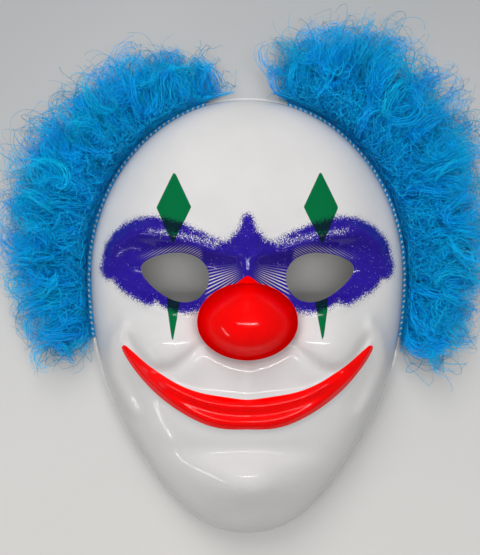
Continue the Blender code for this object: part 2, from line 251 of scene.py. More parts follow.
def smile(offset=0.0, share_of_width=1.0):
    """The smile's stroke as (x, y, half width), moved across by a share of its width."""
    points = []
    for step in range(-SMILE_STEPS, SMILE_STEPS + 1):
        share = step / SMILE_STEPS
        x = share * SMILE_HALF
        y = SMILE_Y + SMILE_LIFT * abs(share) ** SMILE_CURVE
        bow = BOW_RISE * math.exp(-(((abs(x) - BOW_X) / BOW_HALF) ** 2))
        width = SMILE_THIN + SMILE_THICK * (1 - share * share) ** 0.8 + bow
        points.append((x, y + offset * width, width * share_of_width))
    return points


def nose_share(x, y):
    """0 at the tip of the nose, 1 at its edge, more beyond it."""
    across = (x - NOSE_CENTRE[0]) / NOSE_HALF[0]
    up = (y - NOSE_CENTRE[1]) / NOSE_HALF[1]
    return np.hypot(across, up)


def face_height(x, y):
    """Height of the outer surface over the table, inside the rim."""
    share = np.minimum(rim_share(x, y), 1.0)
    height = SKIRT_HEIGHT + DOME_RISE * np.sqrt(1 - share**DOME_POWER)
    relief = np.zeros(np.shape(x))
    for centre_x, centre_y, half_x, half_y, rise in BUMPS:
        across = np.abs(x) if centre_x else x
        fall = ((across - centre_x) / half_x) ** 2 + ((y - centre_y) / half_y) ** 2
        relief = relief + rise * np.exp(-fall)
    for rise, line in RIDGES:
        relief = relief + ridge(rounded(line), rise, np.abs(x), y)
    for lip in (UPPER_LIP, LOWER_LIP):
        relief = relief + ridge(smile(*lip), LIP_RISE, x, y)
    nose = nose_share(x, y)
    relief = relief - MOAT_DEPTH * np.exp(-(((nose - 1.0) / MOAT_WIDTH) ** 2)) * (nose >= 1)
    nose = np.minimum(nose, 1.0)
    relief = relief * nose**2 - MOAT_DEPTH * nose**6 * (nose < 1)
    return height + (relief + NOSE_RISE * np.sqrt(1 - nose**2)) * (1 - share**8)


def eye_outline(side, steps=96):
    points = []
    for step in range(steps):
        angle = 2 * math.pi * step / steps
        along = math.cos(angle)
        across = math.sin(angle) * (1 - EYE_FULLNESS * along)
        x = EYE_HALF[0] * along
        y = EYE_HALF[1] * across
        turned_x = x * math.cos(EYE_TILT) - y * math.sin(EYE_TILT)
        turned_y = x * math.sin(EYE_TILT) + y * math.cos(EYE_TILT)
        points.append((side * (EYE_CENTRE[0] + turned_x), EYE_CENTRE[1] + turned_y))
    return points


# ---- The printed make-up: how far inside each colour's edge a point is, in mm ----

MM = 1000

# Strokes: x, y and half width of points along each.
NOSE_PEAK = ((0.0, 0.014, 0.0080), (0.0, 0.0200, 0.0030), (0.0, 0.0225, 0.0008))
POINT_UNDER_EYE = (
    (EYE_CENTRE[0], 0.0150, 0.0040),
    (EYE_CENTRE[0], 0.0060, 0.0030),
    (EYE_CENTRE[0], -0.0030, 0.0016),
    (EYE_CENTRE[0], -0.0110, 0.0002),
)
PURPLE_BROW = (
    (0.000, 0.0350, 0.0080),
    (0.014, 0.0345, 0.0070),
    (0.028, 0.0390, 0.0080),
    (0.042, 0.0435, 0.0092),
    (0.056, 0.0445, 0.0100),
    (0.068, 0.0385, 0.0096),
    (0.0750, 0.0280, 0.0062),
)
PURPLE_PEAK = ((0.0, 0.036, 0.0125), (0.0, 0.043, 0.0070), (0.0, 0.053, 0.0034))
PURPLE_BRIDGE = ((0.004, 0.0250, 0.0080), (0.018, 0.0190, 0.0100), (0.026, 0.0150, 0.0070))
PURPLE_CORNER = ((0.070, 0.0330, 0.0066), (0.066, 0.0220, 0.0062), (0.053, 0.0120, 0.0040))
THIN_STREAK = ((0.016, 0.0400, 0.001), (0.034, 0.0445, 0.001), (0.052, 0.0475, 0.001))

# The green diamond over each eye.
DIAMOND_CENTRE = (EYE_CENTRE[0], 0.0600)
DIAMOND_HALF = (0.0095, 0.0200)

# The share of the nose's size where its red ends, and about how many mm one share is.
NOSE_RED_EDGE = 1.012
NOSE_RED_SCALE = 22

# Purple, in mm: how far it goes past the eye opening, how much more at the outer end, how
# far the forehead's peak is drawn in, and where the dots start and turn solid. Then how
# much thinner the dots are in the streak, and the streak's half width in metres.
PAST_EYE = 3.6
PAST_OUTER_EYE = 3.0
PEAK_INSET = 1.2
DOTS_START = -5.2
DOTS_SOLID = 3.0
STREAK_THINNING = 0.33
STREAK_HALF = 0.0022

# Where the sheet was drawn down the dots open into lines: a fan beside the nose, with its
# lines an angle apart round one point, and slanted lines on the upper lid. How far the lid's
# band is from the opening's edge, and its half width, are in mm.
LINE_FAN_CENTRE = (0.0145, 0.0190)
LINE_FAN_HALF = (0.0090, 0.0075)
LINE_FAN_EDGE = 0.0235
LINE_FAN_POINT = (-0.0080, 0.0310)
LINE_FAN_STEP = math.radians(3.4)
LID_FROM_EDGE = 1.6
LID_HALF = 1.7
LID_STRETCH = 0.75
LID_LINE_SLANT = 0.55
LID_LINE_PITCH = 0.00125


def stroke_inside(line, x, y):
    distance, width = nearest(rounded(line), x, y)
    return (width - distance) * MM


def eye_inside(x, y):
    """Roughly how far inside the eye opening a point is; below 0 outside it."""
    dx, dy = np.abs(x) - EYE_CENTRE[0], y - EYE_CENTRE[1]
    along = (dx * math.cos(EYE_TILT) + dy * math.sin(EYE_TILT)) / EYE_HALF[0]
    across = (dy * math.cos(EYE_TILT) - dx * math.sin(EYE_TILT)) / EYE_HALF[1]
    across = across / (1 - EYE_FULLNESS * np.clip(along, -1, 1))
    return (1 - np.hypot(along, across)) * EYE_HALF[1] * MM


def red_inside(x, y):
    nose = (NOSE_RED_EDGE - nose_share(x, y)) * NOSE_RED_SCALE
    mouth_distance, mouth_width = nearest(smile(), x, y)
    mouth = (mouth_width - mouth_distance) * MM
    return np.maximum.reduce([nose, stroke_inside(NOSE_PEAK, x, y), mouth])


def green_inside(x, y):
    """A plain upright diamond over the middle of each eye, and a point under it."""
    x = np.abs(x)
    across = np.abs(x - DIAMOND_CENTRE[0]) / DIAMOND_HALF[0]
    up = np.abs(y - DIAMOND_CENTRE[1]) / DIAMOND_HALF[1]
    slope = math.hypot(1 / DIAMOND_HALF[0], 1 / DIAMOND_HALF[1])
    diamond = (1 - across - up) / slope * MM
    return np.maximum(diamond, stroke_inside(POINT_UNDER_EYE, x, y))


def purple_density(x, y):
    """How densely the purple dots lie: 0 none, 1 solid."""
    x = np.abs(x)
    brow, peak, bridge, corner = [
        stroke_inside(line, x, y)
        for line in (PURPLE_BROW, PURPLE_PEAK, PURPLE_BRIDGE, PURPLE_CORNER)
    ]
    round_eye = eye_inside(x, y) + PAST_EYE + PAST_OUTER_EYE * smooth(0.03, 0.07, x)
    inside = np.maximum.reduce([brow, peak - PEAK_INSET, bridge, corner, round_eye])
    away, _ = nearest(rounded(THIN_STREAK), x, y)
    thin = STREAK_THINNING * np.exp(-((away / STREAK_HALF) ** 2))
    return smooth(DOTS_START, DOTS_SOLID, inside) - thin


def print_stretch(x, y):
    """How far the sheet was drawn down beside the eyes, which opens the dots into lines."""
    x = np.abs(x)
    across = (x - LINE_FAN_CENTRE[0]) / LINE_FAN_HALF[0]
    up = (y - LINE_FAN_CENTRE[1]) / LINE_FAN_HALF[1]
    fan = np.exp(-(across**4) - up**4) * smooth(LINE_FAN_EDGE, LINE_FAN_EDGE - 0.002, x)
    lid = np.exp(-(((eye_inside(x, y) + LID_FROM_EDGE) / LID_HALF) ** 2))
    lid = lid * smooth(0.024, 0.032, y - 0.12 * x)
    lid = LID_STRETCH * lid * smooth(LINE_FAN_EDGE, LINE_FAN_EDGE + 0.002, x)
    return np.clip(fan + lid, 0, 1)


def print_lines(x, y):
    """Phase of the opened lines: a fan beside the nose, slanted lines on the lid."""
    x = np.abs(x)
    fan = np.arctan2(y - LINE_FAN_POINT[1], x - LINE_FAN_POINT[0]) / LINE_FAN_STEP
    lid = (x * LID_LINE_SLANT + y) / LID_LINE_PITCH
    return np.where(x < LINE_FAN_EDGE, fan, lid)


# ---- Small helpers ----


def move_with(obj, body, *stands_for, slot=None):
    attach(obj, body)
    if stands_for:
        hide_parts(*stands_for)
    return obj


def link(name, data):
    obj = bpy.data.objects.new(name, data)
    bpy.context.scene.collection.objects.link(obj)
    return obj


def set_float(mesh, name, values):
    attribute = mesh.attributes.new(name, "FLOAT", "POINT")
    attribute.data.foreach_set("value", np.asarray(values, np.float32).ravel())


def mesh_of(name, points, faces):
    mesh = bpy.data.meshes.new(name)
    mesh.from_pydata([tuple(p) for p in points], [], faces)
    mesh.validate()
    return mesh


class Nodes:
    """A material's node tree, with short calls for the nodes that are used here."""

    def __init__(self, name):
        self.material = bpy.data.materials.new(name)
        self.material.use_nodes = True
        self.tree = self.material.node_tree
        self.shader = self.tree.nodes["Principled BSDF"]

    def add(self, kind, **inputs):
        node = self.tree.nodes.new(kind)
        for name, value in inputs.items():
            self.put(node, name.replace("_", " "), value)
        return node

    def put(self, node, name, value):
        socket = node.inputs[name]
        if isinstance(value, bpy.types.NodeSocket):
            self.tree.links.new(value, socket)
        else:
            socket.default_value = value

    def set(self, name, value):
        self.put(self.shader, name, value)

    def value(self, name):
        node = self.add("ShaderNodeAttribute")
        node.attribute_name = name
        return node.outputs["Fac"]

    def place(self):
        return self.add("ShaderNodeTexCoord").outputs["Object"]

    def math(self, operation, *values):
        node = self.add("ShaderNodeMath")
        node.operation = operation
        for socket, value in zip(node.inputs, values):
            if isinstance(value, bpy.types.NodeSocket):
                self.tree.links.new(value, socket)
            else:
                socket.default_value = value
        return node.outputs[0]

    def noise(self, place, size, detail=2.0, roughness=0.5):
        """Noise with features of about the given size in metres."""
        node = self.add("ShaderNodeTexNoise", Vector=place, Scale=1 / size)
        node.inputs["Detail"].default_value = detail
        node.inputs["Roughness"].default_value = roughness
        return node.outputs["Fac"]

    def between(self, value, low, high, to_low=0.0, to_high=1.0):
        node = self.add("ShaderNodeMapRange", Value=value)
        node.interpolation_type = "SMOOTHSTEP"
        node.inputs["From Min"].default_value = low
        node.inputs["From Max"].default_value = high
        node.inputs["To Min"].default_value = to_low
        node.inputs["To Max"].default_value = to_high
        return node.outputs["Result"]

    def mix(self, share, first, second):
        node = self.add("ShaderNodeMix")
        node.data_type = "RGBA"
        for index, value in ((0, share), (6, first), (7, second)):
            socket = node.inputs[index]
            if isinstance(value, bpy.types.NodeSocket):
                self.tree.links.new(value, socket)
            elif index == 0:
                socket.default_value = value
            else:
                socket.default_value = (*value, 1.0)
        return node.outputs[2]

    def bump(self, height, distance, strength=1.0, normal=None):
        node = self.add("ShaderNodeBump", Height=height, Distance=distance, Strength=strength)
        if normal is not None:
            self.put(node, "Normal", normal)
        return node.outputs["Normal"]


# ---- The shell ----

SPOKES = 300
NOSE_RINGS = 26
FACE_RINGS = 100
SKIRT_RINGS = 5
FILLET_RINGS = 6
FLANGE_RINGS = 3
FILLET = 0.0026
SHARP_ANGLE = math.radians(38)

# The screen of purple dots, and the values between which a dot, an opened line and an edge
# of the print (in mm) fade in.
DOT_PITCH = 0.00050
DOT_RANDOMNESS = 0.65
DOT_SPREAD = 1.05
DOT_EDGE = (-0.12, 0.16)
LINE_EDGE = (0.15, 0.85)
PRINT_EDGE = (-0.10, 0.10)

# Gloss: the least and most roughness, what the drawn wall of the nose adds, and the
# specular level of the sheet and of that wall.
ROUGHNESS = (0.09, 0.17)
DRAWN_ROUGHNESS = 0.30
SPECULAR = (0.36, 0.0)

# Shade painted grey into the crease round the nose: where its middle and half width are
# in shares of the nose, and how strong it is.
PAINTED_SHADE_AT = 1.03
PAINTED_SHADE_HALF = 0.09
PAINTED_SHADE_STRENGTH = 0.62

# Colours of the sheet and the ink, and the grey of the shade painted round the nose.

WHITE = (0.665, 0.650, 0.645)
GREY_WHITE = (0.630, 0.622, 0.618)
PAINTED_SHADE_GREY = (0.30, 0.30, 0.32)
PURPLE = (0.024, 0.010, 0.31)
DEEP_PURPLE = (0.013, 0.005, 0.21)
GREEN = (0.0, 0.132, 0.040)
GREEN_ON_PURPLE = (0.001, 0.012, 0.022)
RED = (1.0, 0.0, 0.0)
DEEP_RED = (0.90, 0.0, 0.0)


def shell_rings():
    """Rings of points from the tip of the nose out to the edge of the flange."""
    angle = 2 * math.pi * np.arange(SPOKES) / SPOKES
    rim = rim_level(angle)
    turn = np.stack([np.cos(angle), np.sin(angle)], axis=-1)
    edge = np.array(NOSE_CENTRE) + turn * np.array(NOSE_HALF)
    flat = []
    for ring in range(1, NOSE_RINGS + 1):
        share = math.sin(math.pi / 2 * ring / NOSE_RINGS)
        flat.append(np.array(NOSE_CENTRE) + (edge - np.array(NOSE_CENTRE)) * share)
    for ring in range(1, FACE_RINGS + 1):
        share = ring / FACE_RINGS
        flat.append(edge + (rim - edge) * (share + math.sin(math.pi / 2 * share)) / 2)
    rings = [np.column_stack([ring, face_height(ring[:, 0], ring[:, 1])]) for ring in flat]
    for step in range(1, SKIRT_RINGS + 1):
        height = SKIRT_HEIGHT + (SHEET + FILLET - SKIRT_HEIGHT) * step / SKIRT_RINGS
        rings.append(np.column_stack([rim, np.full(SPOKES, height)]))
    outwards = rim_outwards(angle)
    for step in range(1, FILLET_RINGS + 1):
        turned = math.pi / 2 * step / FILLET_RINGS
        out = rim + outwards * FILLET * (1 - math.cos(turned))
        height = SHEET + FILLET * (1 - math.sin(turned))
        rings.append(np.column_stack([out, np.full(SPOKES, height)]))
    for step in range(1, FLANGE_RINGS + 1):
        out = rim + outwards * (FILLET + (FLANGE_WIDTH - FILLET) * step / FLANGE_RINGS)
        rings.append(np.column_stack([out, np.full(SPOKES, SHEET)]))
    return rings


def open_sheet():
    """The outer surface of the shell, as one open sheet with no thickness yet."""
    rings = shell_rings()
    tip = np.array([[*NOSE_CENTRE, float(face_height(*map(np.array, NOSE_CENTRE)))]])
    points = np.concatenate([tip] + rings)
    points[:, 1] += FACE_Y
    faces = [(0, 1 + spoke, 1 + (spoke + 1) % SPOKES) for spoke in range(SPOKES)]
    for ring in range(len(rings) - 1):
        inner, outer = 1 + ring * SPOKES, 1 + (ring + 1) * SPOKES
        for spoke in range(SPOKES):
            after = (spoke + 1) % SPOKES
            faces.append((inner + spoke, outer + spoke, outer + after, inner + after))
    return link("shell_sheet", mesh_of("shell_sheet", points, faces))


def prism(name, outline, low, high):
    """A straight-sided solid over an outline in the face frame, for cutting."""
    count = len(outline)
    points = [(x, y + FACE_Y, z) for z in (low, high) for x, y in outline]
    faces = [tuple(range(count)), tuple(range(count, 2 * count))]
    for step in range(count):
        after = (step + 1) % count
        faces.append((step, after, count + after, count + step))
    mesh = mesh_of(name, points, faces)
    work = bmesh.new()
    work.from_mesh(mesh)
    bmesh.ops.recalc_face_normals(work, faces=work.faces)
    work.to_mesh(mesh)
    work.free()
    return link(name, mesh)


def drill(side):
    """A solid that cuts the hole of one rivet."""
    bpy.ops.mesh.primitive_cylinder_add(
        vertices=40,
        radius=RIVET_HOLE_RADIUS,
        depth=0.012,
        location=(side * HALF_WIDTH, FACE_Y + WIDEST_Y, SHELL["rivet_z"]),
        rotation=(0, math.pi / 2, 0),
    )
    return bpy.context.object


UNROLLED_SPAN = 0.31
BIG_DISC = (0.70, (0.33, 0.36))  # scale and middle in the square
SMALL_DISC = (0.28, (0.84, 0.84))


def unwrap_shell(mesh, points, outer):
    """Two flat discs side by side: the outer face large, the inner face small."""
    middle = np.array([0.0, FACE_Y])
    away = points[:, :2] - middle
    distance = np.linalg.norm(away, axis=1)
    drop = np.clip(SKIRT_HEIGHT - points[:, 2], 0, SKIRT_HEIGHT)
    flat = away / np.maximum(distance, 1e-6)[:, None] * (distance + drop)[:, None]
    loops = np.zeros(len(mesh.loops), np.int32)
    mesh.loops.foreach_get("vertex_index", loops)
    starts = np.zeros(len(mesh.polygons), np.int32)
    totals = np.zeros(len(mesh.polygons), np.int32)
    mesh.polygons.foreach_get("loop_start", starts)
    mesh.polygons.foreach_get("loop_total", totals)
    share = np.add.reduceat(outer[loops], starts) / totals
    front = np.repeat(share > 0.5, totals)
    big, small = [
        flat[loops] / UNROLLED_SPAN * scale + np.array(place)
        for scale, place in (BIG_DISC, SMALL_DISC)
    ]
    uv = np.where(front[:, None], big, small)
    layer = mesh.uv_layers.new(name="OFBake")
    layer.data.foreach_set("uv", uv.astype(np.float32).ravel())


def shell_material():
    """Glossy white sheet with the make-up printed on its outer face."""
    nodes = Nodes("printed_gloss_sheet")
    place = nodes.place()
    outer = nodes.between(nodes.value("outer"), 0.80, 0.95)

    # Purple is a screen of small dots that grow into a solid, and open into lines where
    # the sheet was stretched.
    patchy = nodes.between(nodes.noise(place, 0.0060, 3.0), 0.3, 0.7, 0.93, 1.06)
    density = nodes.math("MULTIPLY", nodes.value("purple"), patchy)
    flat = nodes.add("ShaderNodeVectorMath")
    flat.operation = "MULTIPLY"
    nodes.put(flat, 0, place)
    nodes.put(flat, 1, (1.0, 0.75, 0.0))
    dots = nodes.add("ShaderNodeTexVoronoi", Vector=flat.outputs[0], Scale=1 / DOT_PITCH)
    dots.inputs["Randomness"].default_value = DOT_RANDOMNESS
    spread_dots = nodes.math("MULTIPLY", dots.outputs["Distance"], DOT_SPREAD)
    dotted = nodes.between(nodes.math("SUBTRACT", density, spread_dots), *DOT_EDGE)
    wave = nodes.math("MULTIPLY", nodes.value("lines"), 2 * math.pi)
    lines = nodes.between(nodes.math("SINE", wave), *LINE_EDGE)
    opened = nodes.math("MULTIPLY", lines, nodes.value("stretch"))
    purple = nodes.math("MULTIPLY", dotted, nodes.math("SUBTRACT", 1.0, opened))

    green = nodes.between(nodes.value("green"), *PRINT_EDGE)
    red = nodes.between(nodes.value("red"), *PRINT_EDGE)
    cloud = nodes.noise(place, 0.03, 2.0)
    white = nodes.mix(nodes.between(cloud, 0.3, 0.7), WHITE, GREY_WHITE)
    # Painted shade: the white turns grey in the crease round the nose.
    white = nodes.mix(nodes.value("painted_crease_shade"), white, PAINTED_SHADE_GREY)
    ink = nodes.mix(nodes.noise(place, 0.002, 2.0), DEEP_PURPLE, PURPLE)
    red_ink = nodes.mix(nodes.between(nodes.noise(place, 0.012, 3.0), 0.35, 0.7), RED, DEEP_RED)
    colour = nodes.mix(purple, white, ink)
    green_ink = nodes.mix(purple, GREEN, GREEN_ON_PURPLE)
    colour = nodes.mix(green, colour, green_ink)
    colour = nodes.mix(red, colour, red_ink)
    nodes.set("Base Color", nodes.mix(outer, white, colour))

    # A moulded skin: faint orange peel, a few rubbed patches, and thick ink.
    rubbed = nodes.between(nodes.noise(place, 0.018, 4.0, 0.6), 0.45, 0.75, *ROUGHNESS)
    drawn = nodes.value("drawn")
    rough_wall = nodes.math("MULTIPLY", drawn, DRAWN_ROUGHNESS)
    nodes.set("Roughness", nodes.math("ADD", rubbed, rough_wall))
    peel = nodes.bump(nodes.noise(place, 0.0060, 1.0), 0.00010)
    nodes.set("Normal", nodes.bump(nodes.math("MAXIMUM", red, green), 0.00004, 1.0, peel))
    nodes.set("IOR", 1.50)
    nodes.set("Specular IOR Level", nodes.between(drawn, 0.0, 1.0, *SPECULAR))
    nodes.set("Subsurface Weight", 0.35)
    nodes.set("Subsurface Radius", (1.0, 0.95, 0.9))
    nodes.set("Subsurface Scale", 0.006)
    return nodes.material


def make_shell():
    sheet = open_sheet()
    wall = sheet.modifiers.new("wall", "SOLIDIFY")
    wall.thickness = SHEET
    wall.offset = -1
    wall.use_even_offset = True
    cutters = [prism("eye_cut", eye_outline(side), *EYE_CUT_LEVELS) for side in (-1, 1)]
    cutters += [drill(side) for side in (-1, 1)]
    for cutter in cutters:
        hole = sheet.modifiers.new("hole", "BOOLEAN")
        hole.operation = "DIFFERENCE"
        hole.object = cutter
    depsgraph = bpy.context.evaluated_depsgraph_get()
    mesh = bpy.data.meshes.new_from_object(sheet.evaluated_get(depsgraph))
    for unused in [sheet] + cutters:
        bpy.data.objects.remove(unused)
    mesh.name = "clown_face_shell"
    mesh.shade_smooth()
    mesh.set_sharp_from_angle(angle=SHARP_ANGLE)

    # Which points are on the outer face, and what is printed at each.
    points = np.zeros(len(mesh.vertices) * 3, np.float32)
    mesh.vertices.foreach_get("co", points)
    points = points.reshape(-1, 3).astype(float)
    x, y = points[:, 0], points[:, 1] - FACE_Y
    below = face_height(x, y) - points[:, 2]
    inside = rim_share(x, y) < 0.985
    steep = 1 / np.clip(slope_down(x, y), 0.25, 1)
    outer = np.where(inside, below < 0.45 * SHEET * steep, points[:, 2] > 0.6 * SHEET)
    set_float(mesh, "outer", outer)
    set_float(mesh, "purple", purple_density(x, y))
    set_float(mesh, "stretch", print_stretch(x, y))
    set_float(mesh, "lines", print_lines(x, y))
    set_float(mesh, "green", green_inside(x, y))
    set_float(mesh, "red", red_inside(x, y))

    # The nose's side wall has less gloss, and shade is painted grey into the crease round the
    # nose.
    nose = nose_share(x, y)
    set_float(mesh, "drawn", smooth(0.45, 0.90, nose) * smooth(1.06, 1.01, nose))
    painted_crease_shade = np.exp(-(((nose - PAINTED_SHADE_AT) / PAINTED_SHADE_HALF) ** 2))
    set_float(mesh, "painted_crease_shade", PAINTED_SHADE_STRENGTH * painted_crease_shade)
    unwrap_shell(mesh, points, outer.astype(float))

    shell = link("clown_face_shell", mesh)
    mesh.materials.clear()
    mesh.materials.append(shell_material())
    return move_with(shell, "shell", "face_shell", slot="shell")


def slope_down(x, y, step=0.0005):
    """How level the outer surface is: 1 level, near 0 steep."""
    rise_x = (face_height(x + step, y) - face_height(x - step, y)) / (2 * step)
    rise_y = (face_height(x, y + step) - face_height(x, y - step)) / (2 * step)
    return 1 / np.sqrt(1 + rise_x**2 + rise_y**2)


# ---- Tubes: hair and stitches ----


def tube_mesh(name, paths, radii, sides):
    """One mesh of many closed tubes. Paths has a row of points for each tube, and radii
    a radius for each point."""
    count, length, _ = paths.shape
    along = np.gradient(paths, axis=1)
    along /= np.maximum(np.linalg.norm(along, axis=2, keepdims=True), 1e-12)
    across = np.cross(along[:, 0], np.array([0.31, 0.52, 0.79]))
    rings = np.empty((count, length, sides, 3))
    turns = 2 * np.pi * np.arange(sides) / sides
    for step in range(length):
        heading = along[:, step]
        across = across - heading * np.sum(across * heading, axis=1, keepdims=True)
        across /= np.maximum(np.linalg.norm(across, axis=1, keepdims=True), 1e-12)
        third = np.cross(heading, across)
        for side, turn in enumerate(turns):
            offset = across * math.cos(turn) + third * math.sin(turn)
            rings[:, step, side] = paths[:, step] + offset * radii[:, step, None]
    index = np.arange(count * length * sides).reshape(count, length, sides)
    ahead = np.roll(index, -1, axis=2)
    quads = np.stack([index[:, :-1], ahead[:, :-1], ahead[:, 1:], index[:, 1:]], axis=-1)
    quads = quads.reshape(-1)
    caps = np.concatenate([index[:, 0, ::-1].reshape(-1), index[:, -1].reshape(-1)])
    corners = np.concatenate([quads, caps])
    sizes = np.concatenate([np.full(len(quads) // 4, 4), np.full(2 * count, sides)])
    mesh = bpy.data.meshes.new(name)
    mesh.vertices.add(count * length * sides)
    mesh.vertices.foreach_set("co", rings.astype(np.float32).ravel())
    mesh.loops.add(len(corners))
    mesh.loops.foreach_set("vertex_index", corners.astype(np.int32))
    mesh.polygons.add(len(sizes))
    starts = np.concatenate([[0], np.cumsum(sizes)[:-1]])
    mesh.polygons.foreach_set("loop_start", starts.astype(np.int32))
    mesh.update(calc_edges=True)
    mesh.shade_smooth()
    return mesh, corners


def unwrap_tubes(mesh, corners, count, length, sides, columns=4):
    """Each tube gets a narrow strip of the square, in a few columns."""
    tube = corners // (length * sides)
    step = corners // sides % length
    side = corners % sides
    rows = math.ceil(count / columns)
    u = (tube % columns + 0.04 + 0.92 * step / (length - 1)) / columns
    v = (tube // columns + 0.15 + 0.7 * side / sides) / rows
    layer = mesh.uv_layers.new(name="OFBake")
    layer.data.foreach_set("uv", np.stack([u, v], axis=-1).astype(np.float32).ravel())


# ---- Hair ----

LOCKS = 190
FIBRES_PER_LOCK = 15
LOOSE_FIBRES = 620
SHORT_FIBRES = 1000
WISPS = 130
FIBRE_POINTS = 50
FIBRE_RADIUS = 0.00017
FIBRE_SIDES = 3
TIP_THINNING = 0.55
PIECES_PER_SIDE = 8
ROOT_OUTSET = 0.0048
HAIR_CLEARANCE = 0.0041

# A fibre starts at its layer's height, and rises and falls as it goes outwards.
ROOT_HEIGHT = 0.0022
LAYER_HEIGHT = 0.0025
LOW_ARCH = 0.003
HIGH_ARCH = 0.036
FULL_ARCH_REACH = 0.045

# Frizz: the size of each quick bend.
FRIZZ = (0.00050, 0.00016)

# How far hair may stand past the CAD box before it is held back, and how far more it may
# then come, for the x and y axes.
PAST_BOX = ((0.0010, 0.0035), (0.0035, 0.0040))

# The least height of a fibre, and the range over which it is eased up to that.
TABLE_GAP = 0.0004
TABLE_EASE = 0.003

# The kinds of fibre, with (low, high, jitter) of each setting. Each kind also gives how far
# its colour goes towards a darker teal, shade painted on fibres that stray against the light.
HAIR_KINDS = (
    {
        "groups": LOCKS,
        "per_group": FIBRES_PER_LOCK,
        "stray_shade": 0.0,
        "limits": {
            "share": (0, 1, 0.006),
            "layer": (0, 1, 0.05),
            "turn": (-0.30, 0.30, 0.05),
            "length": (0.72, 1.0, 0.04),
            "sway": (-0.006, 0.006, 0.001),
            "sway_phase": (0, 1, 0.03),
            "pitch": (0.013, 0.023, 0.0008),
            "phase": (0, 6.28, 0.22),
            "curl": (0.0034, 0.0070, 0.0005),
            "tone": (0.0, 1.0, 0.08),
        },
    },
    {
        "groups": LOOSE_FIBRES,
        "per_group": 1,
        "stray_shade": 0.75,
        "limits": {
            "share": (0, 1, 0),
            "layer": (0, 1, 0),
            "turn": (-0.5, 0.5, 0),
            "length": (0.75, 1.10, 0),
            "sway": (-0.010, 0.010, 0),
            "sway_phase": (0, 1, 0),
            "pitch": (0.014, 0.030, 0),
            "phase": (0, 6.28, 0),
            "curl": (0.0035, 0.0085, 0),
            "tone": (0.2, 1.0, 0),
        },
    },
    {
        "groups": SHORT_FIBRES,
        "per_group": 1,
        "stray_shade": 0.2,
        "limits": {
            "share": (0, 1, 0),
            "layer": (0, 0.9, 0),
            "turn": (-1.1, 1.1, 0),
            "length": (0.12, 0.50, 0),
            "sway": (-0.005, 0.005, 0),
            "sway_phase": (0, 1, 0),
            "pitch": (0.009, 0.017, 0),
            "phase": (0, 6.28, 0),
            "curl": (0.0022, 0.0050, 0),
            "tone": (0.2, 0.9, 0),
        },
    },
    {
        "groups": WISPS,
        "per_group": 1,
        "stray_shade": 0.9,
        "limits": {
            "share": (0, 1, 0),
            "layer": (0, 0.7, 0),
            "turn": (-0.40, 0.40, 0),
            "length": (0.88, 1.12, 0),
            "sway": (-0.008, 0.008, 0),
            "sway_phase": (0, 1, 0),
            "pitch": (0.020, 0.036, 0),
            "phase": (0, 6.28, 0),
            "curl": (0.0055, 0.0100, 0),
            "tone": (0.5, 1.0, 0),
        },
    },
)

# Colours at the root and towards the tip, each for a tone of 0 and 1, and the darker teal of
# shade painted on stray fibres.
ROOT_BLUES = ((0.0, 0.27, 1.0), (0.0, 0.42, 1.0))
TIP_BLUES = ((0.0, 0.45, 1.0), (0.0, 0.66, 0.98))
STRAY_SHADE_TEAL = (0.0, 0.32, 0.55)


def reach_at(side, share):
    """Hair length at a share of the seam, eased between the listed lengths."""
    lengths = np.array(HAIR_REACH[side])
    place = np.clip(share, 0, 1) * (len(lengths) - 1.0001)
    first = place.astype(int)
    ease = (1 - np.cos(np.pi * (place - first))) / 2
    return lengths[first] + ease * (lengths[first + 1] - lengths[first])


def spread(rng, groups, per_group, low, high, jitter):
    """One value for each group, shared by its fibres with a little jitter."""
    shared = np.repeat(rng.uniform(low, high, groups), per_group)
    return shared + rng.normal(0, jitter, groups * per_group)


def fibre_settings(rng, groups, per_group, stray_shade, limits):
    """Random settings of the curly fibres of one kind."""
    made = {name: spread(rng, groups, per_group, *three) for name, three in limits.items()}
    made["hand"] = np.repeat(rng.choice([-1.0, 1.0], groups), per_group)
    axes = np.repeat(rng.normal(0, 1, (groups, 3)), per_group, axis=0)
    made["axis"] = axes + rng.normal(0, 0.12, axes.shape)
    made["frizz_phase"] = rng.uniform(0, 2 * np.pi, (groups * per_group, 6))
    made["stray_shade"] = np.full(groups * per_group, stray_shade)
    return made


